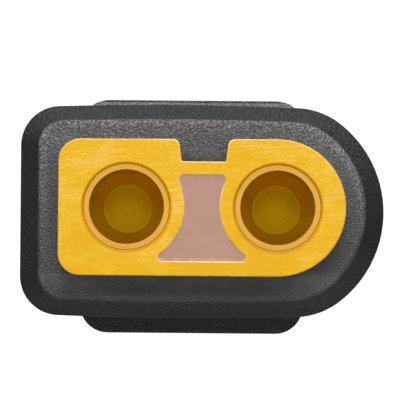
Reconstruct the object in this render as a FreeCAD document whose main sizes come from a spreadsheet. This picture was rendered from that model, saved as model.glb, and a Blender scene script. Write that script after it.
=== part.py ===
import FreeCAD, Part
import Sketcher
import math
import os

# Overmoulded two-pole power connector, the end of a solar adapter cable. Millimetres.
#
# Frame of the part: +X right, +Y away from the mate (the cable leaves at +Y), +Z up, the
# origin in the middle of the footprint at the lowest point of the bottom pad.
# Frame of each body: the point midway between the two contact axes, in the plane of the
# plug's front face. The body's Placement carries it to the frame of the part.
#
# How it is made: two turned contacts are pushed into the insulating plug body from behind
# and soldered to the cores; the inner moulding is shot around the cups and through the
# core-out of the plug body; the grained housing is shot over all of it.

V = FreeCAD.Vector
doc = FreeCAD.newDocument("two_pole_power_connector")

# ---------------------------------------------------------------- driving dimensions
ROWS = [
    # where the bodies stand
    ("axis_height", 9.08, "contact axes above the lowest point of the bottom pad"),
    ("length_all", 52.0, "plug face to the end of the neck"),
    # contacts
    ("pitch", 10.8, "between the two contact axes"),
    ("contact_od", 6.18, "turned sleeve and solder cup, outside"),
    ("contact_bore", 5.3, "bore for the pin"),
    ("mouth_bore", 5.38, "lead-in at the rim"),
    ("mouth_deep", 0.06, "length of the lead-in"),
    ("rim_back", 0.2, "rim behind the plug face"),
    ("rim_round", 0.05, "broken outer edge of the rim"),
    ("bore_end", 12.2, "flat floor of the bore behind the plug face"),
    ("floor_disc", 3.56, "diameter of the flat floor"),
    ("floor_cone", 0.8, "length of the cone round the floor"),
    ("step_at", 13.0, "front of the contact's shoulder"),
    ("step_len", 2.0, "length of the shoulder"),
    ("step_od", 7.0, "diameter of the shoulder"),
    ("cup_id", 4.4, "solder cup, inside"),
    ("cup_floor", 16.8, "where the cup's straight wall begins"),
    ("cup_cone", 0.9, "drill point of the cup"),
    ("cup_end", 23.5, "rear end of the cup"),
    ("cup_window", 3.6, "length of the open half of the cup"),
    # plug body
    ("plug_wide", 20.55, "across the plug"),
    ("plug_high", 9.8, "height of the plug, and twice the nose radius"),
    ("plug_corner", 1.55, "corner radius of the square side"),
    ("plug_fall", 0.06, "how far the top edge falls towards the square side"),
    ("plug_long", 18.0, "front face to rear face"),
    ("plug_edge", 0.1, "broken edge of the front face"),
    ("socket_hole", 6.2, "hole for a contact sleeve"),
    ("socket_edge", 0.13, "broken edge of the hole"),
    ("socket_back", 7.2, "counterbore behind the step"),
    ("key_mid", 0.1, "middle of the keyway, right of the centre line"),
    ("key_floor", 3.2, "width of the keyway at its floor"),
    ("key_mouth", 3.44, "width of the keyway at its mouth"),
    ("key_deep", 1.63, "depth of the keyway"),
    ("key_lip", 0.5, "radius where the keyway meets the top"),
    ("key_root", 0.15, "radius in the keyway's floor corners"),
    ("core_arc", 4.24, "radius of the side walls of the core-out"),
    ("core_shift", 0.08, "their centres, outside the contact axes"),
    ("core_lift", 0.1, "and above them"),
    ("core_top", 2.33, "top of the core-out above the axes"),
    ("core_low", 3.84, "bottom of the core-out below the axes"),
    ("core_round", 0.35, "its upper corner radius"),
    ("core_tip", 0.27, "its lower corner radius"),
    ("flange_at", 9.5, "front of the anchor flange"),
    ("flange_len", 1.6, "thickness of the anchor flange"),
    ("flange_rise", 0.8, "how far the flange stands out of the plug"),
    # inner moulding
    ("fill_back", 0.08, "filled core-out behind the plug face"),
    ("block_wide", 19.6, "width of the block behind the plug body"),
    ("block_high", 9.2, "height of the block"),
    ("block_round", 2.6, "corner radius of the block"),
    ("block_end", 27.0, "where the block begins to taper"),
    ("taper_end", 38.0, "end of the taper"),
    ("taper_round", 5.5, "radius of the round end"),
    ("way_bore", 3.4, "way of one core"),
    ("way_half", 1.85, "half the distance between the ways at the cable"),
    ("way_bend", 10.0, "bend radius of the ways"),
    ("way_start", 24.3, "where the ways begin to bend"),
    ("cable_bore", 8.0, "seat of the cable's jacket"),
    ("jacket_end", 36.5, "where the jacket is stripped back"),
    # housing
    ("drop", 0.18, "middle of the housing below the contact axes"),
    ("face_at", 7.2, "outer edge of the collar's front face"),
    ("face_rise", 0.2, "the front face stands forward by this at the plug"),
    ("face_slope", 1.4, "width of the slope between"),
    ("face_wide", 23.6, "front face, width"),
    ("face_high", 13.16, "front face, height"),
    ("face_corner", 1.82, "front face, corner radius of the square side"),
    ("face_crown", 0.12, "front face, rise of the top and bottom edges"),
    ("face_blend", 4.45, "front face, radius between edge and nose"),
    ("face_edge", 0.35, "rounded edge round the front face"),
    ("head_at", 12.0, "where the flank reaches the full section"),
    ("head_end", 16.4, "rear of the head"),
    ("head_bend", 2.5, "radius where the flank meets the full section"),
    ("head_wide", 26.52, "head, width"),
    ("head_high", 15.58, "head, height"),
    ("head_corner", 2.87, "head, corner radius of the square side"),
    ("head_crown", 0.15, "head, rise of the top and bottom edges"),
    ("head_blend", 5.35, "head, radius between edge and nose"),
    ("head_edge", 0.8, "rounded rear edge of the head"),
    ("lean", 0.034, "slope where a crowned edge begins, as a sine"),
    ("turn", 0.6, "where the nose arc takes over, as a sine"),
    ("grip_end", 33.5, "rear of the straight grip"),
    ("grip_wide", 24.2, "grip, width"),
    ("grip_high", 13.6, "grip, height"),
    ("grip_corner", 3.0, "grip, corner radius of the square side"),
    ("grip_crown", 0.14, "grip, rise of the top and bottom edges"),
    ("grip_blend", 4.4, "grip, radius between edge and nose"),
    ("tail_0", 0.0, "share of the way from grip to neck, at the first tail section"),
    ("tail_1", 0.156, "at the second"),
    ("tail_2", 0.5, "at the third"),
    ("tail_3", 0.844, "at the fourth"),
    ("tail_4", 1.0, "at the last"),
    ("neck_at", 45.5, "where the neck is round"),
    ("neck_od", 12.4, "neck, diameter"),
    ("neck_edge", 0.8, "rounded end of the neck"),
    ("entry_edge", 0.3, "broken edge of the cable entry"),
    # grip pads
    ("pad_at", 17.5, "front of the pads"),
    ("pad_end", 33.0, "rear of the pads"),
    ("pad_left", 8.95, "left side of the pads from the centre line"),
    ("pad_right", 7.5, "right side of the pads from the centre line"),
    ("pad_top", 8.1, "top pad above the axes"),
    ("pad_round", 2.05, "corner radius of the pads"),
    ("pad_step", 0.19, "the front edge of the first rib is lower by this"),
    ("pad_lead", 0.7, "length of that lower edge"),
    ("rib_long", 1.55, "length of a rib along the grip"),
    ("rib_gap", 1.0, "width of a groove"),
    ("rib_deep", 0.55, "depth of a groove"),
    ("rib_slope", 0.14, "how much narrower a groove is at its floor, each side"),
]

sheet = doc.addObject("Spreadsheet::Sheet", "dims")
NUMBER = {}
for row, (name, value, note) in enumerate(ROWS, start=1):
    sheet.set("A%d" % row, name)
    sheet.set("B%d" % row, "%g" % value)
    sheet.set("C%d" % row, note)
    sheet.setAlias("B%d" % row, name)
    NUMBER[name] = value
doc.recompute()


# ---------------------------------------------------------------- numbers with formulas
class Size:
    """A number together with the sheet formula that gives it."""

    def __init__(self, value, text):
        self.value = float(value)
        self.text = text

    def __add__(self, other):
        other = size(other)
        return Size(self.value + other.value, "(%s + %s)" % (self.text, other.text))

    def __sub__(self, other):
        other = size(other)
        return Size(self.value - other.value, "(%s - %s)" % (self.text, other.text))

    def __mul__(self, other):
        other = size(other)
        return Size(self.value * other.value, "%s * %s" % (self.text, other.text))

    def __truediv__(self, other):
        other = size(other)
        return Size(self.value / other.value, "%s / (%s)" % (self.text, other.text))

    def __neg__(self):
        return Size(-self.value, "(0 - %s)" % self.text)

    def root(self):
        return Size(math.sqrt(self.value), "sqrt(%s)" % self.text)


def size(number):
    if isinstance(number, Size):
        return number
    return Size(number, "(%.9g)" % number)


def d(name):
    return Size(NUMBER[name], "dims." + name)


ZERO = size(0.0)
HALF_PITCH = d("pitch") / 2


# ---------------------------------------------------------------- bodies and sketches
def new_body(label):
    body = doc.addObject("PartDesign::Body", label)
    body.Label = label
    return body


def stand(body, x=None):
    """Carry a body from the middle of the contact axes to the frame of the part."""
    if x is not None:
        body.setExpression("Placement.Base.x", x.text)
    body.setExpression("Placement.Base.y", (ZERO - d("length_all") / 2).text)
    body.setExpression("Placement.Base.z", d("axis_height").text)


def origin_item(body, role):
    return [o for o in body.Origin.OriginFeatures if o.Role == role][0]


def new_sketch(body, name, role="XZ_Plane", offset=None):
    """offset: for XZ_Plane, how far behind the plug face the sketch lies."""
    sk = body.newObject("Sketcher::SketchObject", name)
    sk.AttachmentSupport = [(origin_item(body, role), "")]
    sk.MapMode = "FlatFace"
    if offset is not None:
        sk.setExpression("AttachmentOffset.Base.z", (-offset).text)
    return sk


def pin(sk, geo, pos, axis, number, name):
    """Hold one coordinate of a point at a sheet formula."""
    kind = "DistanceX" if axis == "x" else "DistanceY"
    if abs(number.value) < 1e-9:
        sk.addConstraint(Sketcher.Constraint("PointOnObject", geo, pos, -2 if axis == "x" else -1))
        return
    if number.value > 0:
        i = sk.addConstraint(Sketcher.Constraint(kind, -1, 1, geo, pos, number.value))
        text = number.text
    else:
        i = sk.addConstraint(Sketcher.Constraint(kind, geo, pos, -1, 1, -number.value))
        text = (-number).text
    sk.renameConstraint(i, name)
    sk.setExpression("Constraints." + name, text)


def arc_centre(a, b, radius):
    """Centre of the short arc from a to b: left of the way for a positive radius."""
    mid = V((a[0] + b[0]) / 2, (a[1] + b[1]) / 2, 0)
    step = V(b[0] - a[0], b[1] - a[1], 0)
    half = step.Length / 2
    rise = math.sqrt(max(radius * radius - half * half, 0.0))
    left = V(-step.y, step.x, 0).normalize()
    return mid + left * (rise if radius > 0 else -rise)


def loop(sk, corners, tag="p"):
    """Closed outline. corners: (x, y, bend), bend None for a straight side to the next
    corner, or the arc's radius, positive where the outline turns left."""
    n = len(corners)
    geo, start, end = [], [], []
    for i in range(n):
        x, y, bend = corners[i]
        nx, ny, _ = corners[(i + 1) % n]
        a, b = (x.value, y.value), (nx.value, ny.value)
        if bend is None:
            geo.append(sk.addGeometry(Part.LineSegment(V(a[0], a[1], 0), V(b[0], b[1], 0)), False))
            start.append(1)
            end.append(2)
        else:
            c = arc_centre(a, b, bend.value)
            r = abs(bend.value)
            if bend.value > 0:
                a1 = math.atan2(a[1] - c.y, a[0] - c.x)
                a2 = math.atan2(b[1] - c.y, b[0] - c.x)
                start.append(1)
                end.append(2)
            else:
                a1 = math.atan2(b[1] - c.y, b[0] - c.x)
                a2 = math.atan2(a[1] - c.y, a[0] - c.x)
                start.append(2)
                end.append(1)
            if a2 < a1:
                a2 += 2 * math.pi
            geo.append(sk.addGeometry(Part.ArcOfCircle(Part.Circle(c, V(0, 0, 1), r), a1, a2), False))
    for i in range(n):
        j = (i + 1) % n
        sk.addConstraint(Sketcher.Constraint("Coincident", geo[i], end[i], geo[j], start[j]))
    for i in range(n):
        x, y, bend = corners[i]
        pin(sk, geo[i], start[i], "x", x, "%s%dx" % (tag, i))
        pin(sk, geo[i], start[i], "y", y, "%s%dy" % (tag, i))
        if bend is not None:
            k = sk.addConstraint(Sketcher.Constraint("Radius", geo[i], abs(bend.value)))
            sk.renameConstraint(k, "%s%dr" % (tag, i))
            sk.setExpression("Constraints.%s%dr" % (tag, i),
                             bend.text if bend.value > 0 else (-bend).text)
    return geo


def circle(sk, x, y, radius, tag="c"):
    g = sk.addGeometry(Part.Circle(V(x.value, y.value, 0), V(0, 0, 1), radius.value), False)
    pin(sk, g, 3, "x", x, tag + "x")
    pin(sk, g, 3, "y", y, tag + "y")
    k = sk.addConstraint(Sketcher.Constraint("Radius", g, radius.value))
    sk.renameConstraint(k, tag + "r")
    sk.setExpression("Constraints.%sr" % tag, radius.text)
    return g


def pad(body, name, sk, length):
    f = body.newObject("PartDesign::Pad", name)
    f.Profile = sk
    f.Reversed = True                      # a sketch on the XZ plane faces -Y: extrude to +Y
    f.setExpression("Length", length.text)
    sk.Visibility = False
    return f


def pocket(body, name, sk, length):
    f = body.newObject("PartDesign::Pocket", name)
    f.Profile = sk
    f.setExpression("Length", length.text)  # cuts to +Y
    sk.Visibility = False
    return f


def loft(body, name, sketches, kind="PartDesign::AdditiveLoft", ruled=True):
    f = body.newObject(kind, name)
    f.Profile = sketches[0]
    f.Sections = sketches[1:]
    f.Ruled = ruled
    return f


def edges_at(shape, y, keep=None):
    """Names of the edges that lie in the plane y, in the body's own frame."""
    names = []
    for i, e in enumerate(shape.Edges, start=1):
        b = e.BoundBox
        if abs(b.YMin - y) < 1e-4 and abs(b.YMax - y) < 1e-4 and (keep is None or keep(e)):
            names.append("Edge%d" % i)
    return names


def soften(body, name, kind, value, prop, y, keep=None):
    """Round or break the edges in the plane y of what the body is so far."""
    doc.recompute()
    base = body.Tip
    names = edges_at(base.Shape, y, keep)
    if not names:
        raise RuntimeError("no edges for " + name)
    f = body.newObject(kind, name)
    f.Base = (base, names)
    f.setExpression(prop, value.text)
    body.Tip = f
    doc.recompute()
    return f


# ---------------------------------------------------------------- outlines
def plug_outline(wide, high, corner, keyed):
    """D shape seen from the front: square side left, half-round nose right, keyway on top.
    Runs anticlockwise from the nose's tip."""
    w, r = wide / 2, high / 2
    mid = w - r
    left = r - d("plug_fall") if keyed else r
    pts = [(w, ZERO, r), (mid, r, None)]
    if keyed:
        km, kf, kt = d("key_mid"), d("key_floor") / 2, d("key_mouth") / 2
        floor = r - d("key_deep")
        lip, root = d("key_lip"), d("key_root")
        share = d("plug_fall") / (mid + w - corner)     # slope of the top edge
        near = r - share * (mid - km - kt - lip)
        far = r - share * (mid - km + kt + lip)
        pts += [
            (km + kt + lip, near, lip),
            (km + kt, near - lip, None),
            (km + kf, floor + root, -root),
            (km + kf - root, floor, None),
            (km - kf + root, floor, -root),
            (km - kf, floor + root, None),
            (km - kt, far - lip, lip),
            (km - kt - lip, far, None),
        ]
    pts += [
        (corner - w, left, corner),
        (-w, left - corner, None),
        (-w, corner - r, corner),
        (corner - w, -r, None),
        (mid, -r, r),
    ]
    return pts


def core_outline():
    """Hourglass between the sockets: side walls nearly concentric with the contacts.
    Runs anticlockwise from the top right corner."""
    p, a, up = HALF_PITCH + d("core_shift"), d("core_arc"), d("core_lift")
    top, low = d("core_top") - up, d("core_low") + up
    rt, rl = d("core_round"), d("core_tip")
    # corner fillets: circles inside the outline, tangent to the flat end and to the side
    # arc from outside it
    ut = top - rt
    ul = low - rl
    reach_t = ((a + rt) * (a + rt) - ut * ut).root()
    reach_l = ((a + rl) * (a + rl) - ul * ul).root()
    ct = p - reach_t                        # x of the top fillet's centre, right side
    cl = p - reach_l
    st, sl = a / (a + rt), a / (a + rl)
    xt, zt = p - reach_t * st, up + ut * st
    xl, zl = p - reach_l * sl, up - ul * sl
    top, low = d("core_top"), d("core_low")
    return [
        (xt, zt, rt),
        (ct, top, None),
        (-ct, top, rt),
        (-xt, zt, -a),
        (-xl, zl, rl),
        (-cl, -low, None),
        (cl, -low, rl),
        (xl, zl, -a),
    ]


def housing_outline(wide, high, corner, crown, blend):
    """The housing's D: crowned top and bottom edges, a blend into the nose arc.
    Runs anticlockwise from the nose's tip, about the middle of the housing."""
    w, half = wide / 2, high / 2
    lean, turn = d("lean"), d("turn")
    cl = (size(1) - lean * lean).root()
    ct = (size(1) - turn * turn).root()
    z2 = half - crown
    nose = (z2 + blend * (ct - cl)) / ct
    x2 = w - blend * (turn - lean) - nose * (size(1) - turn)
    x3 = x2 + blend * (turn - lean)
    z3 = z2 + blend * (ct - cl)
    x1 = corner * (size(1) - lean) - w
    z0 = z2 - corner * cl
    c = (x2 - x1) / 2
    top = (c * c + crown * crown) / (crown * 2)
    zc = ZERO - d("drop")
    return [
        (w, zc, nose),
        (x3, zc + z3, blend),
        (x2, zc + z2, top),
        (x1, zc + z2, corner),
        (-w, zc + z0, None),
        (-w, zc - z0, corner),
        (x1, zc - z2, top),
        (x2, zc - z2, blend),
        (x3, zc - z3, nose),
    ]


def tail_outline(outline, radius, share):
    """Between the grip's D (share 0) and a circle (share 1). Every corner keeps the
    direction of its normal, so the surface between them has no twist."""
    lean, turn = d("lean"), d("turn")
    cl = (size(1) - lean * lean).root()
    ct = (size(1) - turn * turn).root()
    zc = ZERO - d("drop")
    ring = [
        (radius, ZERO), (radius * turn, radius * ct), (radius * lean, radius * cl),
        (-(radius * lean), radius * cl), (-(radius * cl), radius * lean),
        (-(radius * cl), -(radius * lean)), (-(radius * lean), -(radius * cl)),
        (radius * lean, -(radius * cl)), (radius * turn, -(radius * ct)),
    ]
    rest = size(1) - share
    pts = []
    for (x, z, bend), (rx, rz) in zip(outline, ring):
        pts.append((x * rest + rx * share, z * rest + (zc + rz) * share,
                    None if bend is None else bend * rest + radius * share))
    return pts


def box_outline(wide, high, corner, up):
    """Rounded rectangle, anticlockwise from the right side's top."""
    w, h, r = wide / 2, high / 2, corner
    return [
        (w, up + (h - r), r), (w - r, up + h, None),
        (r - w, up + h, r), (-w, up + (h - r), None),
        (-w, up - (h - r), r), (r - w, up - h, None),
        (w - r, up - h, r), (w, up - (h - r), None),
    ]


def round8_outline(radius, up):
    pts = []
    for a in (22, 68, 112, 158, 202, 248, 292, 338):
        t = math.radians(a)
        pts.append((radius * math.cos(t), up + radius * math.sin(t), radius))
    return pts


# ---------------------------------------------------------------- 1 plug body
def make_plug_body():
    body = new_body("plug_body")
    sk = new_sketch(body, "plug_section", offset=ZERO)
    loop(sk, plug_outline(d("plug_wide"), d("plug_high"), d("plug_corner"), True))
    pad(body, "plug_bar", sk, d("plug_long"))

    # flange that the housing grips; it also closes the keyway behind the collar
    rise = d("flange_rise") * 2
    sk = new_sketch(body, "flange_section", offset=d("flange_at"))
    loop(sk, plug_outline(d("plug_wide") + rise, d("plug_high") + rise,
                          d("plug_corner") + d("flange_rise"), False))
    pad(body, "anchor_flange", sk, d("flange_len"))

    doc.recompute()
    before = body.Shape.Volume
    for side, x in (("flat", -HALF_PITCH), ("round", HALF_PITCH)):
        sk = new_sketch(body, "hole_" + side, offset=ZERO)
        circle(sk, x, ZERO, d("socket_hole") / 2)
        pocket(body, "sleeve_hole_" + side, sk, d("plug_long"))
        sk = new_sketch(body, "back_" + side, offset=d("step_at"))
        circle(sk, x, ZERO, d("socket_back") / 2)
        pocket(body, "back_hole_" + side, sk, d("plug_long") - d("step_at"))
    sk = new_sketch(body, "core_section", offset=ZERO)
    loop(sk, core_outline())
    pocket(body, "core_out", sk, d("plug_long"))
    doc.recompute()
    print("plug_body, cut away: %.1f mm3" % (before - body.Shape.Volume))

    p, hole = HALF_PITCH.value, NUMBER["socket_hole"] / 2

    def is_hole(e):
        c = e.Curve
        return hasattr(c, "Radius") and abs(c.Radius - hole) < 1e-4

    soften(body, "hole_edges", "PartDesign::Chamfer", d("socket_edge"), "Size", 0.0, is_hole)
    soften(body, "face_edges", "PartDesign::Fillet", d("plug_edge"), "Radius", 0.0,
           lambda e: not (hasattr(e.Curve, "Radius") and abs(abs(e.Curve.Center.x) - p) < 1e-4
                          and e.Curve.Radius < NUMBER["core_arc"] - 0.2))
    stand(body)
    return body


# ---------------------------------------------------------------- 2, 3 contacts
def make_contact(label, x):
    """Turned in one piece: sleeve, shoulder and solder cup, about the body's Y axis."""
    body = new_body(label)
    sk = new_sketch(body, "turned_profile_" + label, role="XY_Plane")
    out, bore, mouth = d("contact_od") / 2, d("contact_bore") / 2, d("mouth_bore") / 2
    rim, edge, cup = d("rim_back"), d("rim_round"), d("cup_id") / 2
    step = d("step_at")
    loop(sk, [
        (mouth, rim, None),
        (out - edge, rim, None),
        (out, rim + edge, None),
        (out, step, None),
        (d("step_od") / 2, step, None),
        (d("step_od") / 2, step + d("step_len"), None),
        (out, step + d("step_len"), None),
        (out, d("cup_end"), None),
        (cup, d("cup_end"), None),
        (cup, d("cup_floor"), None),
        (ZERO, d("cup_floor") - d("cup_cone"), None),
        (ZERO, d("bore_end"), None),
        (d("floor_disc") / 2, d("bore_end"), None),
        (bore, d("bore_end") - d("floor_cone"), None),
        (bore, rim + d("mouth_deep"), None),
    ])
    f = body.newObject("PartDesign::Revolution", "turned_" + label)
    f.Profile = sk
    f.ReferenceAxis = (origin_item(body, "Y_Axis"), [""])
    f.Angle = 360.0
    sk.Visibility = False
    doc.recompute()
    before = body.Shape.Volume
    # the rear of the cup is open at the top, where the core is laid in and soldered
    sk = new_sketch(body, "window_" + label, offset=d("cup_end") - d("cup_window"))
    a, up = d("contact_od") * 0.6, d("contact_od") * 0.12
    loop(sk, [(a, up, None), (a, a, None), (-a, a, None), (-a, up, None)])
    pocket(body, "cup_window_" + label, sk, d("cup_window") * 2)
    doc.recompute()
    print("%s, window: %.2f mm3" % (label, before - body.Shape.Volume))
    stand(body, x)
    return body


# ---------------------------------------------------------------- 4 inner moulding
def make_inner_mould():
    body = new_body("inner_mould")
    up = ZERO
    sk = new_sketch(body, "block_section", offset=d("plug_long"))
    loop(sk, box_outline(d("block_wide"), d("block_high"), d("block_round"), up))
    pad(body, "block", sk, d("block_end") - d("plug_long"))

    sk1 = new_sketch(body, "taper_front", offset=d("block_end"))
    loop(sk1, box_outline(d("block_wide"), d("block_high"), d("block_round"), up))
    sk2 = new_sketch(body, "taper_back", offset=d("taper_end"))
    loop(sk2, round8_outline(d("taper_round"), ZERO - d("drop")))
    loft(body, "taper", [sk1, sk2])

    # what filled the core-out of the plug body, short of its front face
    sk = new_sketch(body, "fill_section", offset=d("fill_back"))
    loop(sk, core_outline())
    pad(body, "core_fill", sk, d("plug_long") - d("fill_back") + 0.5)

    # and the rings behind the contacts' shoulders
    ring_at = d("step_at") + d("step_len")
    for side, x in (("flat", -HALF_PITCH), ("round", HALF_PITCH)):
        sk = new_sketch(body, "ring_" + side, offset=ring_at)
        circle(sk, x, ZERO, d("socket_back") / 2)
        pad(body, "back_fill_" + side, sk, d("plug_long") - ring_at + 0.5)
    doc.recompute()
    before = body.Shape.Volume
    for side, x in (("flat", -HALF_PITCH), ("round", HALF_PITCH)):
        sk = new_sketch(body, "cup_" + side, offset=ring_at)
        circle(sk, x, ZERO, d("contact_od") / 2)
        pocket(body, "cup_seat_" + side, sk, d("cup_end") - ring_at)
    doc.recompute()
    print("inner_mould, cup seats: %.1f mm3" % (before - body.Shape.Volume))
    before = body.Shape.Volume

    # one way for each core, from its cup to the cable: straight, an S bend, straight
    shift = HALF_PITCH - d("way_half")
    bend = d("way_bend")
    cosine = size(1) - shift / (bend * 2)
    sine = (size(1) - cosine * cosine).root()
    y0, y1 = d("cup_end") - 0.2, d("way_start")
    y2, y3 = y1 + bend * sine, y1 + bend * sine * 2
    y4 = d("jacket_end") + 0.5
    for side, s in (("flat", -1.0), ("round", 1.0)):
        path = new_sketch(body, "way_path_" + side, role="XY_Plane")
        xa, xb, xm = HALF_PITCH * s, d("way_half") * s, (HALF_PITCH + d("way_half")) * (s / 2)
        pts = [(xa, y0), (xa, y1), (xm, y2), (xb, y3), (xb, y4)]
        bends = [None, bend * s, bend * -s, None]
        geo, head, tail = [], [], []
        for i in range(4):
            a = (pts[i][0].value, pts[i][1].value)
            b = (pts[i + 1][0].value, pts[i + 1][1].value)
            if bends[i] is None:
                geo.append(path.addGeometry(Part.LineSegment(V(a[0], a[1], 0), V(b[0], b[1], 0)), False))
                head.append(1)
                tail.append(2)
            else:
                r = bends[i].value
                c = arc_centre(a, b, r)
                if r > 0:
                    a1, a2 = math.atan2(a[1] - c.y, a[0] - c.x), math.atan2(b[1] - c.y, b[0] - c.x)
                    head.append(1)
                    tail.append(2)
                else:
                    a1, a2 = math.atan2(b[1] - c.y, b[0] - c.x), math.atan2(a[1] - c.y, a[0] - c.x)
                    head.append(2)
                    tail.append(1)
                if a2 < a1:
                    a2 += 2 * math.pi
                geo.append(path.addGeometry(Part.ArcOfCircle(Part.Circle(c, V(0, 0, 1), abs(r)), a1, a2), False))
        for i in range(3):
            path.addConstraint(Sketcher.Constraint("Coincident", geo[i], tail[i], geo[i + 1], head[i + 1]))
        for i in range(5):
            g, p = (geo[i], head[i]) if i < 4 else (geo[3], tail[3])
            pin(path, g, p, "x", pts[i][0], "p%dx" % i)
            pin(path, g, p, "y", pts[i][1], "p%dy" % i)
        for i in (1, 2):
            k = path.addConstraint(Sketcher.Constraint("Radius", geo[i], abs(bends[i].value)))
            path.renameConstraint(k, "p%dr" % i)
            path.setExpression("Constraints.p%dr" % i, bend.text)
        ring = new_sketch(body, "way_ring_" + side, offset=y0)
        circle(ring, xa, ZERO, d("way_bore") / 2)
        f = body.newObject("PartDesign::SubtractivePipe", "core_way_" + side)
        f.Profile = ring
        f.Spine = path
        f.Mode = "Frenet"
        path.Visibility = False
        ring.Visibility = False
        doc.recompute()
    sk = new_sketch(body, "jacket_seat", offset=d("jacket_end"))
    circle(sk, ZERO, ZERO - d("drop"), d("cable_bore") / 2)
    pocket(body, "jacket_hole", sk, d("taper_end") - d("jacket_end"))
    doc.recompute()
    print("inner_mould, core ways and jacket seat: %.1f mm3" % (before - body.Shape.Volume))
    stand(body)
    return body


# ---------------------------------------------------------------- 5 housing
def make_overmould():
    body = new_body("overmould")
    face = (d("face_wide"), d("face_high"), d("face_corner"), d("face_crown"), d("face_blend"))
    head = (d("head_wide"), d("head_high"), d("head_corner"), d("head_crown"), d("head_blend"))
    grip = (d("grip_wide"), d("grip_high"), d("grip_corner"), d("grip_crown"), d("grip_blend"))
    zc = ZERO - d("drop")

    sk = new_sketch(body, "head_section", offset=d("head_at"))
    loop(sk, housing_outline(*head))
    pad(body, "head", sk, d("head_end") - d("head_at"))

    s1 = new_sketch(body, "flank_front", offset=d("face_at"))
    loop(s1, housing_outline(*face))
    s2 = new_sketch(body, "flank_back", offset=d("head_at"))
    loop(s2, housing_outline(*head))
    loft(body, "flank", [s1, s2])

    # the collar's front face slopes a little, forward to the plug
    out, forward = d("face_slope"), d("face_rise")
    s1 = new_sketch(body, "slope_front", offset=d("face_at") - forward)
    loop(s1, housing_outline(d("face_wide") - out * 2, d("face_high") - out * 2,
                             d("face_corner") - out, d("face_crown"), d("face_blend") - out))
    s2 = new_sketch(body, "slope_back", offset=d("face_at"))
    loop(s2, housing_outline(*face))
    loft(body, "slope", [s1, s2])

    sk = new_sketch(body, "grip_section", offset=d("head_end") - 0.5)
    loop(sk, housing_outline(*grip))
    pad(body, "grip", sk, d("grip_end") - d("head_end") + 0.5)

    # the taper from the grip to the neck, an S curve seen from above
    span = d("neck_at") - d("grip_end")
    sections = []
    for i, share in enumerate(("tail_0", "tail_1", "tail_2", "tail_3", "tail_4")):
        sk = new_sketch(body, "tail_section_%d" % i, offset=d("grip_end") + span * (i / 4.0))
        loop(sk, tail_outline(housing_outline(*grip), d("neck_od") / 2, d(share)))
        sections.append(sk)
    loft(body, "tail", sections, ruled=False)

    sk = new_sketch(body, "neck_section", offset=d("neck_at"))
    circle(sk, ZERO, zc, d("neck_od") / 2)
    pad(body, "neck", sk, d("length_all") - d("neck_at"))
    doc.recompute()
    print("overmould, blank: %.1f mm3" % body.Shape.Volume)
    soften(body, "face_edge", "PartDesign::Fillet", d("face_edge"), "Radius", NUMBER["face_at"])
    soften(body, "flank_bend", "PartDesign::Fillet", d("head_bend"), "Radius", NUMBER["head_at"])
    soften(body, "head_edge", "PartDesign::Fillet", d("head_edge"), "Radius", NUMBER["head_end"],
           lambda e: max(abs(e.BoundBox.XMin), abs(e.BoundBox.XMax), abs(e.BoundBox.ZMin),
                         abs(e.BoundBox.ZMax)) > 0 and outside_grip(e))
    soften(body, "neck_edge", "PartDesign::Fillet", d("neck_edge"), "Radius", NUMBER["length_all"])

    # pads above and below: one rounded bar through the grip
    sk = new_sketch(body, "pad_section", offset=d("pad_at"))
    mid = (d("pad_right") - d("pad_left")) / 2
    wide = (d("pad_right") + d("pad_left")) / 2
    top, low, r = d("pad_top"), ZERO - d("axis_height"), d("pad_round")
    loop(sk, [
        (mid + wide, top - r, r), (mid + wide - r, top, None),
        (mid - wide + r, top, r), (mid - wide, top - r, None),
        (mid - wide, low + r, r), (mid - wide + r, low, None),
        (mid + wide - r, low, r), (mid + wide, low + r, None),
    ])
    pad(body, "pads", sk, d("pad_end") - d("pad_at"))
    doc.recompute()
    before = body.Shape.Volume

    # the front edge of each pad is stepped down
    sk = new_sketch(body, "step_section", role="YZ_Plane")
    y0, y1 = d("pad_at") - 0.3, d("pad_at") + d("pad_lead")
    t0, t1 = d("pad_top") - d("pad_step"), d("pad_top") + 1
    b0, b1 = low + d("pad_step"), low - 1
    loop(sk, [(y0, t0, None), (y1, t0, None), (y1, t1, None), (y0, t1, None)], "t")
    loop(sk, [(y0, b1, None), (y1, b1, None), (y1, b0, None), (y0, b0, None)], "b")
    f = body.newObject("PartDesign::Pocket", "front_step")
    f.Profile = sk
    f.SideType = "Symmetric"
    f.Length = 40.0
    sk.Visibility = False
    doc.recompute()
    print("overmould, stepped edges: %.2f mm3" % (before - body.Shape.Volume))
    before = body.Shape.Volume

    # grooves between the ribs
    sk = new_sketch(body, "groove_section", role="YZ_Plane")
    s = d("rib_slope")
    y0 = d("pad_at") + d("rib_long")
    y1 = y0 + d("rib_gap")
    t0, t1 = d("pad_top") - d("rib_deep"), d("pad_top") + 0.5
    b0, b1 = low + d("rib_deep"), low - 0.5
    loop(sk, [(y0 + s, t0, None), (y1 - s, t0, None), (y1 + s, t1, None), (y0 - s, t1, None)], "t")
    loop(sk, [(y0 - s, b1, None), (y1 + s, b1, None), (y1 - s, b0, None), (y0 + s, b0, None)], "b")
    f = body.newObject("PartDesign::Pocket", "groove")
    f.Profile = sk
    f.SideType = "Symmetric"
    f.Length = 40.0
    sk.Visibility = False
    doc.recompute()
    one = before - body.Shape.Volume
    pattern = body.newObject("PartDesign::LinearPattern", "grooves")
    pattern.Originals = [f]
    pattern.Direction = (origin_item(body, "Y_Axis"), [""])
    pattern.Occurrences = 5
    pattern.setExpression("Length", ((d("rib_long") + d("rib_gap")) * 4).text)
    body.Tip = pattern
    doc.recompute()
    print("overmould, one groove %.2f, all grooves %.2f mm3" % (one, before - body.Shape.Volume))
    before = body.Shape.Volume

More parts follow.
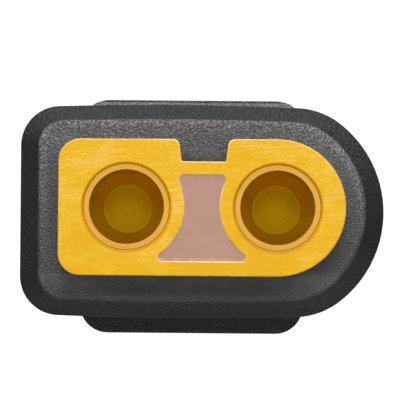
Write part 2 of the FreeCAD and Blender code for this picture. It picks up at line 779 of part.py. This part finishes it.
    # the space that the plug body and the inner moulding fill
    sk = new_sketch(body, "seat_section", offset=d("face_at") - forward)
    loop(sk, plug_outline(d("plug_wide"), d("plug_high"), d("plug_corner"), True))
    pocket(body, "plug_seat", sk, d("plug_long") - d("face_at") + forward)
    rise = d("flange_rise") * 2
    sk = new_sketch(body, "flange_seat_section", offset=d("flange_at"))
    loop(sk, plug_outline(d("plug_wide") + rise, d("plug_high") + rise,
                          d("plug_corner") + d("flange_rise"), False))
    pocket(body, "flange_seat", sk, d("flange_len"))
    sk = new_sketch(body, "block_seat_section", offset=d("plug_long"))
    loop(sk, box_outline(d("block_wide"), d("block_high"), d("block_round"), ZERO))
    pocket(body, "block_seat", sk, d("block_end") - d("plug_long"))
    s1 = new_sketch(body, "taper_seat_front", offset=d("block_end"))
    loop(s1, box_outline(d("block_wide"), d("block_high"), d("block_round"), ZERO))
    s2 = new_sketch(body, "taper_seat_back", offset=d("taper_end"))
    loop(s2, round8_outline(d("taper_round"), zc))
    loft(body, "taper_seat", [s1, s2], kind="PartDesign::SubtractiveLoft")
    sk = new_sketch(body, "entry_section", offset=d("taper_end"))
    circle(sk, ZERO, zc, d("cable_bore") / 2)
    pocket(body, "cable_entry", sk, d("length_all") - d("taper_end"))
    doc.recompute()
    print("overmould, inside: %.1f mm3" % (before - body.Shape.Volume))
    bore = NUMBER["cable_bore"] / 2
    soften(body, "entry_edge", "PartDesign::Chamfer", d("entry_edge"), "Size",
           NUMBER["length_all"],
           lambda e: hasattr(e.Curve, "Radius") and abs(e.Curve.Radius - bore) < 1e-4)
    stand(body)
    return body


def outside_grip(edge):
    """True for the rim of the head, false for the line where the grip leaves it."""
    x = NUMBER["grip_wide"] / 2
    z = NUMBER["grip_high"] / 2
    drop = NUMBER["drop"]
    for v in [edge.valueAt(edge.FirstParameter + (edge.LastParameter - edge.FirstParameter) * t)
              for t in (0.1, 0.5, 0.9)]:
        if not (abs(v.x) > x + 0.3 or abs(v.z + drop) > z + 0.3):
            # between the two outlines near the nose: compare distances from its centre
            c = x - z
            if math.hypot(v.x - c, v.z + drop) < z + 0.45 or v.x < c:
                return False
    return True


parts = [
    make_plug_body(),
    make_contact("contact_flat_side", -HALF_PITCH),
    make_contact("contact_round_side", HALF_PITCH),
    make_inner_mould(),
    make_overmould(),
]
doc.recompute()

# ---------------------------------------------------------------- checks, then files
bad = [o.Name for o in doc.Objects if "Invalid" in o.State or "Error" in o.State]
if bad:
    raise RuntimeError("failed objects: " + ", ".join(bad))
for p in parts:
    if p.Shape.isNull() or not p.Shape.isValid():
        raise RuntimeError("bad shape: " + p.Label)
    if len(p.Shape.Solids) != 1:
        raise RuntimeError("not one solid: " + p.Label)

os.makedirs("parts", exist_ok=True)
for p in parts:
    b = p.Shape.BoundBox
    print("%-20s %9.1f mm3  x %.2f..%.2f  y %.2f..%.2f  z %.2f..%.2f" % (
        p.Label, p.Shape.Volume, b.XMin, b.XMax, b.YMin, b.YMax, b.ZMin, b.ZMax))
    p.Shape.exportStep("parts/%s.step" % p.Label)
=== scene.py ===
import math

import bpy
from mathutils import Matrix, Vector


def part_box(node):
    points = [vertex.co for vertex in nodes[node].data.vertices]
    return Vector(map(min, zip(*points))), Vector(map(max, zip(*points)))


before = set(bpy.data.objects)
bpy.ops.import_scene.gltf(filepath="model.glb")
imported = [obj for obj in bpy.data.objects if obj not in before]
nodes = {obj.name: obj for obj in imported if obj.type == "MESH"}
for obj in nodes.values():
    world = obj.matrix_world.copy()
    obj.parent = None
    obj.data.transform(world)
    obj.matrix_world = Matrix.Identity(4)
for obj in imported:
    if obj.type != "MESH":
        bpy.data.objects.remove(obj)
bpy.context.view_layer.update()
scene = bpy.context.scene
scene.view_settings.view_transform = "Standard"

MM = 0.001
FACE_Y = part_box("plug_body")[0].y                      # plane of the plug's front face
AXIS_Z = (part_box("contact_flat_side")[0].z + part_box("contact_flat_side")[1].z) / 2
LEFT_X = (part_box("contact_flat_side")[0].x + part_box("contact_flat_side")[1].x) / 2
RIGHT_X = (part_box("contact_round_side")[0].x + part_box("contact_round_side")[1].x) / 2


# ------------------------------------------------------------------ camera
# Square to the plug's face from half a metre, a little below the contact axes and looking
# up by three quarters of a degree, with a slight roll.
DISTANCE = 500 * MM
PITCH = math.radians(0.75)
ROLL = math.radians(0.5)
AIM_X, AIM_Z = -0.156 * MM, AXIS_Z + 0.524 * MM        # where the frame's middle meets the face
WIDE = 28.504 * MM                                     # width of the frame there

cam_data = bpy.data.cameras.new("photo_view")
cam_data.sensor_width = 36
cam_data.lens = 36 * DISTANCE / WIDE
cam_data.clip_start = 0.01
cam_data.clip_end = 20
cam = bpy.data.objects.new("photo_view", cam_data)
scene.collection.objects.link(cam)
cam.matrix_world = (
    Matrix.Translation((AIM_X, FACE_Y - DISTANCE, AIM_Z - DISTANCE * math.tan(PITCH)))
    @ Matrix.Rotation(math.pi / 2 + PITCH, 4, "X")
    @ Matrix.Rotation(ROLL, 4, "Z")
)
scene.camera = cam


# ------------------------------------------------------------------ material helpers
class Nodes:
    """A material's node tree, with one short call for each kind of node."""

    def __init__(self, name):
        self.mat = bpy.data.materials.new(name)
        self.mat.use_nodes = True
        self.tree = self.mat.node_tree
        self.bsdf = self.tree.nodes["Principled BSDF"]
        self.at = self.tree.nodes.new("ShaderNodeTexCoord").outputs["Object"]

    def new(self, kind, **props):
        n = self.tree.nodes.new(kind)
        for k, v in props.items():
            setattr(n, k, v)
        return n

    def link(self, a, b):
        self.tree.links.new(a, b)

    def put(self, socket, value):
        if isinstance(value, bpy.types.NodeSocket):
            self.link(value, socket)
        else:
            socket.default_value = value

    def math(self, op, a, b=0.0, c=0.0, clamp=False):
        n = self.new("ShaderNodeMath", operation=op, use_clamp=clamp)
        for i, v in enumerate((a, b, c)):
            if i < len(n.inputs):
                self.put(n.inputs[i], v)
        return n.outputs[0]

    def split(self, vector):
        n = self.new("ShaderNodeSeparateXYZ")
        self.link(vector, n.inputs[0])
        return n.outputs[0], n.outputs[1], n.outputs[2]

    def join(self, x, y, z):
        n = self.new("ShaderNodeCombineXYZ")
        for i, v in enumerate((x, y, z)):
            self.put(n.inputs[i], v)
        return n.outputs[0]

    def stretch(self, scale, vector=None):
        n = self.new("ShaderNodeVectorMath", operation="MULTIPLY")
        self.link(vector or self.at, n.inputs[0])
        n.inputs[1].default_value = scale
        return n.outputs[0]

    def add(self, a, b):
        n = self.new("ShaderNodeVectorMath", operation="ADD")
        self.link(a, n.inputs[0])
        self.put(n.inputs[1], b)
        return n.outputs[0]

    def noise(self, vector, scale, detail=2.0, rough=0.5, colour=False):
        n = self.new("ShaderNodeTexNoise")
        self.link(vector, n.inputs["Vector"])
        n.inputs["Scale"].default_value = scale
        n.inputs["Detail"].default_value = detail
        n.inputs["Roughness"].default_value = rough
        return n.outputs["Color" if colour else "Fac"]

    def cells(self, vector, scale, feature="F1", smooth=None, random=1.0):
        n = self.new("ShaderNodeTexVoronoi", feature=feature)
        self.link(vector, n.inputs["Vector"])
        n.inputs["Scale"].default_value = scale
        n.inputs["Randomness"].default_value = random
        if smooth is not None:
            n.inputs["Smoothness"].default_value = smooth
        return n.outputs["Distance"]

    def span(self, value, low, high, to_low=0.0, to_high=1.0, smooth=False):
        n = self.new("ShaderNodeMapRange")
        if smooth:
            n.interpolation_type = "SMOOTHSTEP"
        self.link(value, n.inputs["Value"])
        n.inputs["From Min"].default_value = low
        n.inputs["From Max"].default_value = high
        n.inputs["To Min"].default_value = to_low
        n.inputs["To Max"].default_value = to_high
        return n.outputs["Result"]

    def ramp(self, value, stops):
        n = self.new("ShaderNodeValToRGB")
        self.link(value, n.inputs[0])
        e = n.color_ramp.elements
        while len(e) < len(stops):
            e.new(0.5)
        for item, (pos, col) in zip(e, stops):
            item.position = pos
            item.color = (*col, 1)
        return n.outputs[0]

    def mix(self, share, a, b):
        n = self.new("ShaderNodeMix", data_type="RGBA")
        self.put(n.inputs[0], share)
        for socket, v in ((n.inputs[6], a), (n.inputs[7], b)):
            self.put(socket, (*v, 1) if isinstance(v, tuple) else v)
        return n.outputs[2]

    def tinted(self, colour, by):
        n = self.new("ShaderNodeVectorMath", operation="MULTIPLY")
        self.link(colour, n.inputs[0])
        self.put(n.inputs[1], by)
        return n.outputs[0]

    def bump(self, height, depth, strength=1.0, below=None):
        """depth is the height in metres of a change of 1 in the texture."""
        n = self.new("ShaderNodeBump")
        n.inputs["Strength"].default_value = strength
        n.inputs["Distance"].default_value = depth
        self.link(height, n.inputs["Height"])
        if below is not None:
            self.link(below, n.inputs["Normal"])
        return n.outputs["Normal"]

    def set(self, **sockets):
        for k, v in sockets.items():
            self.put(self.bsdf.inputs[k.replace("_", " ")], v)


def rgb(r, g, b):
    """Display values 0..255 to linear."""
    return tuple(
        (c / 255 / 12.92) if c / 255 <= 0.04045 else ((c / 255 + 0.055) / 1.055) ** 2.4
        for c in (r, g, b)
    )


# ------------------------------------------------------------------ materials
def housing_material():
    """Matt black moulding with a fine leather grain, and a parting line all round."""
    m = Nodes("grained_black_moulding")
    x, y, z = m.split(m.at)
    # on the collar's flank the grain is drawn out along the part
    drawn = m.math("SUBTRACT", m.math("MAXIMUM", y, FACE_Y + 7.5 * MM), FACE_Y + 7.5 * MM)
    drawn = m.math("MINIMUM", drawn, 4.5 * MM)
    at = m.join(x, m.math("SUBTRACT", y, m.math("MULTIPLY", drawn, 0.68)), z)
    wander = m.add(at, m.stretch((0.00010,) * 3, m.noise(at, 7000, 2.0, 0.5, True)))
    squashed = m.stretch((0.85, 1.0, 1.2), wander)
    grain = m.cells(squashed, 5000, "SMOOTH_F1", 0.2)
    fold = m.cells(squashed, 3800, "DISTANCE_TO_EDGE")
    fine = m.noise(at, 12000, 3.0, 0.6)
    height = m.math("ADD", m.math("MULTIPLY", grain, -1.0),
                    m.math("ADD", m.span(fold, 0.0, 0.2, 0.0, 0.4, True),
                           m.math("MULTIPLY", fine, 0.5)))
    # how strong the grain is, and where, as seen in the photo
    collar = m.span(y, FACE_Y + 7.3 * MM, FACE_Y + 7.6 * MM, 1.0, 0.0, True)
    # the ridge of the collar's front face: smoother there, and given a painted highlight further down
    ridge_wear_and_highlight = m.math("MULTIPLY", m.span(y, FACE_Y + 7.08 * MM, FACE_Y + 7.19 * MM, 0.0, 1.0, True),
                  m.span(y, FACE_Y + 7.30 * MM, FACE_Y + 7.42 * MM, 1.0, 0.0, True))
    upper = m.span(z, AXIS_Z + 3.0 * MM, AXIS_Z + 5.5 * MM, 0.42, 1.3)
    pad = m.math("MULTIPLY", m.span(z, AXIS_Z + 7.2 * MM, AXIS_Z + 7.6 * MM),
                 m.math("MULTIPLY", m.span(y, FACE_Y + 17.2 * MM, FACE_Y + 17.4 * MM),
                        m.span(y, FACE_Y + 17.9 * MM, FACE_Y + 18.3 * MM, 1.0, 0.0)))
    rough = m.math("MULTIPLY", m.span(collar, 0.0, 1.0, 0.9, 1.0), upper)
    rough = m.math("MULTIPLY", rough, m.span(pad, 0.0, 1.0, 1.0, 0.35))
    cover = m.bump(m.math("MULTIPLY", height, rough), 0.18 * MM, 1.0)
    seam = m.math("ABSOLUTE", m.math("SUBTRACT", z, AXIS_Z - 0.25 * MM))
    side = m.span(m.math("ABSOLUTE", x), 11.0 * MM, 12.0 * MM)
    line = m.math("MULTIPLY", m.span(seam, 0.0, 0.06 * MM, 1.0, 0.0, True), side)
    cover = m.bump(line, 0.05 * MM, 0.9, cover)
    tint = m.noise(m.at, 700, 3.0, 0.6)
    colour = m.mix(m.span(tint, 0.3, 0.7), (0.050, 0.050, 0.051), (0.064, 0.064, 0.065))
    # The tints from here on are fixed to the part and vary with the place on it. They bring the
    # tones to the photo's and aren't known properties of the object.
    # painted light: the collar's front face lighter and cooler than the rest of the same moulding
    colour = m.mix(collar, colour, m.tinted(colour, (1.60, 1.64, 1.66)))
    # painted shade: that face darker in the keyway, where the keyway's walls shade it, and just above the
    # plug there
    keyway_shade = m.math("MULTIPLY",
                 m.span(m.math("ABSOLUTE", m.math("SUBTRACT", x, 0.1 * MM)), 1.5 * MM, 2.6 * MM, 1.0, 0.0),
                 m.math("MULTIPLY", m.span(z, AXIS_Z + 5.6 * MM, AXIS_Z + 4.6 * MM, 0.0, 1.0),
                        m.span(z, 0.5 * MM + AXIS_Z, 1.0 * MM + AXIS_Z)))
    colour = m.mix(m.math("MULTIPLY", keyway_shade, collar), colour, m.tinted(colour, (0.77, 0.81, 0.86)))
    # painted light: that face lighter and cooler above the plug, where the light from above falls on it
    above = m.math("MULTIPLY", m.span(z, AXIS_Z + 7.4 * MM, AXIS_Z + 5.4 * MM, 0.0, 1.0),
                   m.span(z, AXIS_Z + 3.4 * MM, AXIS_Z + 4.4 * MM))
    colour = m.mix(m.math("MULTIPLY", above, collar), colour, m.tinted(colour, (1.77, 1.84, 1.95)))
    # painted light and shade: that face below the plug lighter close under the plug, where the plug's
    # shadow falls, and darker at the rim
    under = m.span(z, AXIS_Z - 6.3 * MM, AXIS_Z - 5.2 * MM, 0.97, 1.38)
    under = m.math("MULTIPLY", under, m.span(z, AXIS_Z - 4.9 * MM, AXIS_Z - 4.5 * MM, 1.0, 0.0))
    under = m.math("ADD", under, m.span(z, AXIS_Z - 4.9 * MM, AXIS_Z - 4.5 * MM, 0.0, 1.0))
    colour = m.mix(collar, colour, m.tinted(colour, m.join(under, under, under)))
    # painted light and shade: paler at the lower right and darker at the lower left; painted shade on the
    # front of the lower pad, under the collar
    low = m.span(z, AXIS_Z - 2.0 * MM, AXIS_Z - 5.0 * MM, 0.0, 1.0)
    right = m.math("MULTIPLY", low, m.span(x, 5.0 * MM, 8.0 * MM))
    left = m.math("MULTIPLY", low, m.span(x, -8.5 * MM, -9.5 * MM, 0.0, 1.0))
    side_light_and_shade = m.math("ADD", 1.0, m.math("SUBTRACT", m.math("MULTIPLY", right, 0.22),
                                     m.math("MULTIPLY", left, 0.16)))
    pad_front_shade = m.math("MULTIPLY", m.span(z, AXIS_Z - 7.0 * MM, AXIS_Z - 7.3 * MM, 0.0, 1.0),
                  m.span(y, FACE_Y + 17.9 * MM, FACE_Y + 18.3 * MM, 1.0, 0.0))
    side_light_and_shade = m.math("MULTIPLY", side_light_and_shade, m.span(pad_front_shade, 0.0, 1.0, 1.0, 0.72))
    colour = m.tinted(colour, m.join(side_light_and_shade, side_light_and_shade, side_light_and_shade))
    # the grain's tops are paler than its hollows, more so off the collar's front face; on the top of that
    # face the stronger contrast is painted light and shade, the grain lit from above
    lit_top = m.span(z, AXIS_Z + 3.0 * MM, AXIS_Z + 5.0 * MM, 0.0, 1.0)
    strong = m.math("MAXIMUM", m.math("SUBTRACT", 1.0, collar), lit_top)
    share = m.span(height, -0.30, 0.65, 0.86, 1.16)
    bold = m.span(height, -0.20, 0.60, 0.66, 1.46)
    share = m.math("ADD", m.math("MULTIPLY", bold, strong),
                   m.math("MULTIPLY", share, m.math("SUBTRACT", 1.0, strong)))
    colour = m.tinted(colour, m.join(share, share, share))
    # painted light: the front of the upper pad paler, where the light from above catches it
    colour = m.mix(m.math("MULTIPLY", pad, 0.9), colour, (0.24, 0.24, 0.24))
    gloss = m.span(grain, 0.1, 0.7, 0.40, 0.52)
    # painted highlight: paler flecks along the ridge of the collar, where it catches the light; the ridge
    # is also smoother
    high = m.span(z, AXIS_Z - 3.0 * MM, AXIS_Z + 5.5 * MM, 0.0, 1.0)
    ridge_highlight_fleck = m.span(height, -0.25, 0.5, 0.05, 0.85)
    colour = m.mix(m.math("MULTIPLY", m.math("MULTIPLY", ridge_wear_and_highlight, high), ridge_highlight_fleck), colour,
                   (0.42, 0.42, 0.42))
    m.set(Base_Color=colour, Roughness=m.math("MULTIPLY", gloss, m.span(ridge_wear_and_highlight, 0.0, 1.0, 1.0, 0.8)),
          Normal=cover)
    m.bsdf.inputs["Specular IOR Level"].default_value = 0.45
    return m.mat


def plug_material():
    """Amber nylon with fine flow streaks along the face, and a painted highlight on its broken edges."""
    m = Nodes("amber_nylon")
    x, y, z = m.split(m.at)
    streak = m.noise(m.stretch((3000, 3000, 12500)), 1.0, 3.0, 0.6)
    run = m.noise(m.stretch((900, 900, 9500)), 1.0, 3.0, 0.6)
    cloud = m.noise(m.stretch((260, 330, 420)), 1.0, 2.0, 0.5)
    mixture = m.math("ADD", m.math("MULTIPLY", streak, 0.36),
                     m.math("ADD", m.math("MULTIPLY", run, 0.36), m.math("MULTIPLY", cloud, 0.28)))
    # a little more saturated towards the bottom of the face
    mixture = m.math("MULTIPLY_ADD", mixture, 1.6, -0.305)
    mixture = m.math("ADD", mixture, m.span(z, AXIS_Z - 5.0 * MM, AXIS_Z - 1.0 * MM, -0.14, -0.02))
    colour = m.ramp(mixture, [(0.36, (0.785, 0.422, 0.0002)), (0.46, (0.815, 0.462, 0.005)),
                              (0.53, (0.842, 0.492, 0.022)), (0.66, (0.875, 0.552, 0.13))])
    normal = m.new("ShaderNodeNewGeometry").outputs["Normal"]
    ny = m.math("ABSOLUTE", m.split(normal)[1])
    near = m.span(y, FACE_Y + 0.10 * MM, FACE_Y + 0.16 * MM, 1.0, 0.0)
    rim = m.math("MULTIPLY", m.span(ny, 0.995, 0.85, 0.0, 1.0, True), near)
    # painted highlight: the cut edges of the keyway and the core-out pale and ragged, where they catch the
    # light
    inside = m.math("MULTIPLY",
                    m.span(m.math("ABSOLUTE", m.math("SUBTRACT", x, 0.05 * MM)),
                           3.2 * MM, 3.5 * MM, 1.0, 0.0),
                    m.span(z, AXIS_Z + 4.80 * MM, AXIS_Z + 4.88 * MM, 1.0, 0.0))
    # distance from the nearer contact's axis
    dx = m.math("SUBTRACT", m.math("ABSOLUTE", x), (RIGHT_X - LEFT_X) / 2)
    dz = m.math("SUBTRACT", z, AXIS_Z)
    away = m.math("SQRT", m.math("ADD", m.math("MULTIPLY", dx, dx), m.math("MULTIPLY", dz, dz)))
    inside = m.math("MULTIPLY", inside, m.span(away, 3.35 * MM, 3.45 * MM))
    hole = m.span(away, 3.30 * MM, 3.24 * MM, 0.0, 1.0, True)
    ragged_highlight = m.span(m.noise(m.at, 1500, 3.0, 0.6), 0.38, 0.6, 0.15, 1.0, True)
    pale = m.math("MULTIPLY", rim, m.math("MULTIPLY", inside, ragged_highlight))
    # painted highlight, weaker, on the other rounded edges of the face
    edge_highlight = m.math("MULTIPLY", rim, m.math("SUBTRACT", 1.0, hole))
    colour = m.mix(m.math("MULTIPLY", edge_highlight, 0.3), colour, (0.85, 0.60, 0.22))
    colour = m.mix(pale, colour, (0.95, 0.74, 0.36))
    # painted shade: the wall of each contact's hole a deeper amber, darker towards its bottom
    shade = m.span(dz, -3.2 * MM, 0.0, 0.62, 1.0)
    amber = m.tinted(m.join(0.76, 0.37, 0.007), m.join(shade, shade, shade))
    colour = m.mix(m.math("MULTIPLY", hole, 0.9), colour, amber)
    # a tint fixed to the part, for the photo's tones: painted shade, the plug's sides darkening towards
    # the collar
    root_shade = m.span(y, FACE_Y + 1.0 * MM, FACE_Y + 7.0 * MM, 1.0, 0.62, True)
    colour = m.tinted(colour, m.join(root_shade, root_shade, root_shade))
    scuff = m.noise(m.stretch((1500, 1500, 12000)), 1.0, 3.0, 0.6)
    cover = m.bump(scuff, 0.010 * MM, 0.5)
    m.set(Base_Color=colour, Roughness=m.span(scuff, 0.3, 0.7, 0.46, 0.58), Normal=cover)
    m.bsdf.inputs["Specular IOR Level"].default_value = 0.14
    m.bsdf.inputs["Subsurface Weight"].default_value = 0.12
    m.bsdf.inputs["Subsurface Radius"].default_value = (1.0, 0.45, 0.1)
    m.bsdf.inputs["Subsurface Scale"].default_value = 0.4 * MM
    return m.mat


def filler_material():
    """Flat matt mauve moulding compound."""
    m = Nodes("mauve_inner_moulding")
    cloud = m.noise(m.at, 900, 3.0, 0.6)
    colour = m.mix(m.span(cloud, 0.3, 0.7), (0.445, 0.252, 0.188), (0.475, 0.275, 0.208))
    x, y, z = m.split(m.at)
    # painted highlight: a pale, broken line along the bottom edge of the core-out's fill
    brim_highlight = m.math("MULTIPLY",
                  m.span(m.math("ABSOLUTE", m.math("SUBTRACT", z, AXIS_Z - 3.70 * MM)),
                         0.02 * MM, 0.09 * MM, 1.0, 0.0, True),
                  m.span(m.noise(m.stretch((1100, 1, 400)), 1.0, 2.0, 0.5), 0.4, 0.6))
    colour = m.mix(m.math("MULTIPLY", brim_highlight, 0.35), colour, (0.80, 0.66, 0.66))
    fine = m.noise(m.at, 14000, 2.0, 0.6)
    m.set(Base_Color=colour, Roughness=m.span(fine, 0.3, 0.7, 0.62, 0.76),
          Normal=m.bump(fine, 0.004 * MM, 0.4))
    m.bsdf.inputs["Specular IOR Level"].default_value = 0.3
    return m.mat


def gilt_material(name, cx):
    """Turned and gold-plated: a fine matt surface with tool rings about the contact's axis."""
    m = Nodes(name)
    x, y, z = m.split(m.at)
    dx = m.math("SUBTRACT", x, cx)
    dz = m.math("SUBTRACT", z, AXIS_Z)
    r = m.math("SQRT", m.math("ADD", m.math("MULTIPLY", dx, dx), m.math("MULTIPLY", dz, dz)))
    rings = m.noise(m.join(m.math("MULTIPLY", r, 5200), m.math("MULTIPLY", y, 5200), 0.0),
                    1.0, 3.0, 0.7)
    cloud = m.noise(m.at, 500, 2.0, 0.5)
    deep = m.span(y, FACE_Y + 0.5 * MM, FACE_Y + 11.5 * MM, 0.0, 1.0)
    colour = m.mix(m.span(cloud, 0.3, 0.7), (0.75, 0.462, 0.088), (0.79, 0.495, 0.108))
    # painted light and shade fixed to the part, by radius, depth and height, for the photo's tones: deep
    # in the bore olive, paler in the floor's middle and darker round it; brighter at the lip's outer edge
    floor = m.span(r, 0.1 * MM, 1.60 * MM)
    floor_light_and_shade = m.mix(floor, (0.735, 0.535, 0.010), (0.60, 0.41, 0.003))
    low = m.mix(m.span(r, 1.45 * MM, 2.05 * MM, 0.0, 1.0, True), floor_light_and_shade, (0.82, 0.53, 0.008))
    colour = m.mix(m.span(r, 2.97 * MM, 3.03 * MM), colour, (0.86, 0.52, 0.04))
    # painted light and shade: lighter towards the top of each contact, darker towards the bottom
    up = m.span(dz, -3.1 * MM, 3.1 * MM, 0.90, 1.03)
    colour = m.tinted(colour, m.join(up, up, up))
    up = m.span(dz, -2.4 * MM, 2.4 * MM, 0.84, 1.16)
    low = m.tinted(low, m.join(up, up, up))
    colour = m.mix(deep, colour, low)
    colour = m.mix(m.span(rings, 0.35, 0.65, 0.0, 0.12), colour, (0.62, 0.38, 0.02))
    m.set(Base_Color=colour, Roughness=m.span(rings, 0.3, 0.7, 0.70, 0.80),
          Normal=m.bump(rings, 0.003 * MM, 0.4))
    m.bsdf.inputs["Metallic"].default_value = 1.0
    return m.mat


def dress(node, mat):
    o = nodes[node]
    if not o.material_slots:
        o.data.materials.append(mat)
    for s in o.material_slots:
        s.material = mat


dress("overmould", housing_material())
dress("plug_body", plug_material())
dress("inner_mould", filler_material())
dress("contact_flat_side", gilt_material("gilt_flat_side", LEFT_X))
dress("contact_round_side", gilt_material("gilt_round_side", RIGHT_X))


# ------------------------------------------------------------------ floor, backdrop, light
def plain(name, base, glow):
    """A matt white that also glows a little, so that it stays white behind a black part."""
    mat = bpy.data.materials.new(name)
    mat.use_nodes = True
    b = mat.node_tree.nodes["Principled BSDF"]
    b.inputs["Base Color"].default_value = (base, base, base, 1)
    b.inputs["Roughness"].default_value = 0.9
    b.inputs["Specular IOR Level"].default_value = 0.1
    b.inputs["Emission Color"].default_value = (1, 1, 1, 1)
    b.inputs["Emission Strength"].default_value = glow
    return mat


def sweep():
    """A round floor that curves up into a wall on every side."""
    pts = [(0.02, 0.0), (0.1, 0.0), (0.4, 0.0), (0.9, 0.0), (1.35, 0.0)]
    for i in range(1, 17):
        a = math.radians(90 * i / 16)
        pts.append((1.35 + 0.4 * math.sin(a), 0.4 - 0.4 * math.cos(a)))
    pts += [(1.75, 1.0), (1.6, 1.4), (1.1, 1.7), (0.02, 1.8)]
    turns = 72
    verts = [(0.0, 0.0, 0.0)]
    for r, z in pts:
        for k in range(turns):
            a = 2 * math.pi * k / turns
            verts.append((r * math.cos(a), r * math.sin(a), z))
    faces = []
    for k in range(turns):
        faces.append((0, 1 + k, 1 + (k + 1) % turns))
    for i in range(len(pts) - 1):
        for k in range(turns):
            n = (k + 1) % turns
            a, b = 1 + i * turns, 1 + (i + 1) * turns
            faces.append((a + k, b + k, b + n, a + n))
    mesh = bpy.data.meshes.new("floor")
    mesh.from_pydata(verts, [], faces)
    mesh.update()
    for p in mesh.polygons:
        p.use_smooth = True
    o = bpy.data.objects.new("floor", mesh)
    scene.collection.objects.link(o)
    mesh.materials.append(plain("pale_floor", 0.45, 1.0))
    # the white room is for the eye only: the part's light comes from the panels and the world
    o.visible_diffuse = False
    o.visible_glossy = False
    o.visible_transmission = False
    o.visible_shadow = False
    return o


floor = sweep()

world = bpy.data.worlds.new("studio")
scene.world = world
world.use_nodes = True
wt = world.node_tree
up = wt.nodes.new("ShaderNodeSeparateXYZ")
wt.links.new(wt.nodes.new("ShaderNodeTexCoord").outputs["Generated"], up.inputs[0])
sky = wt.nodes.new("ShaderNodeMapRange")
sky.interpolation_type = "SMOOTHSTEP"
wt.links.new(up.outputs[2], sky.inputs["Value"])
sky.inputs["From Min"].default_value = -0.25
sky.inputs["From Max"].default_value = 0.0
sky.inputs["To Min"].default_value = 0.166               # what a pale table sends up
sky.inputs["To Max"].default_value = 0.004               # the dim room above it
wt.links.new(sky.outputs["Result"], wt.nodes["Background"].inputs["Color"])
wt.nodes["Background"].inputs["Strength"].default_value = 1.0

MID = Vector((0, FACE_Y, AXIS_Z))


def panel(name, az0, az1, el0, el1, radiance, far=1.2):
    """A softbox that fills these directions as seen from the part; azimuth 0 is the camera."""
    az, el = math.radians((az0 + az1) / 2), math.radians((el0 + el1) / 2)
    data = bpy.data.lights.new(name, "AREA")
    data.shape = "RECTANGLE"
    data.size = 2 * far * math.tan(math.radians(az1 - az0) / 2) * math.cos(el)
    data.size_y = 2 * far * math.tan(math.radians(el1 - el0) / 2)
    data.energy = data.size * data.size_y * math.pi * radiance
    o = bpy.data.objects.new(name, data)
    scene.collection.objects.link(o)
    o.location = MID + far * Vector((math.sin(az) * math.cos(el), -math.cos(az) * math.cos(el),
                                     math.sin(el)))
    o.rotation_euler = (MID - o.location).to_track_quat("-Z", "Y").to_euler()
    o.visible_camera = False
    return o


panel("front", -16, 16, -5, 1, 13.0)
panel("middle", -27, 27, 9, 16, 14.0)
panel("upper", -15, 15, 25, 35, 4.6)
panel("overhead", -45, 45, 65, 88, 15.0)
panel("high_back", 120, 240, 45, 75, 0.75)
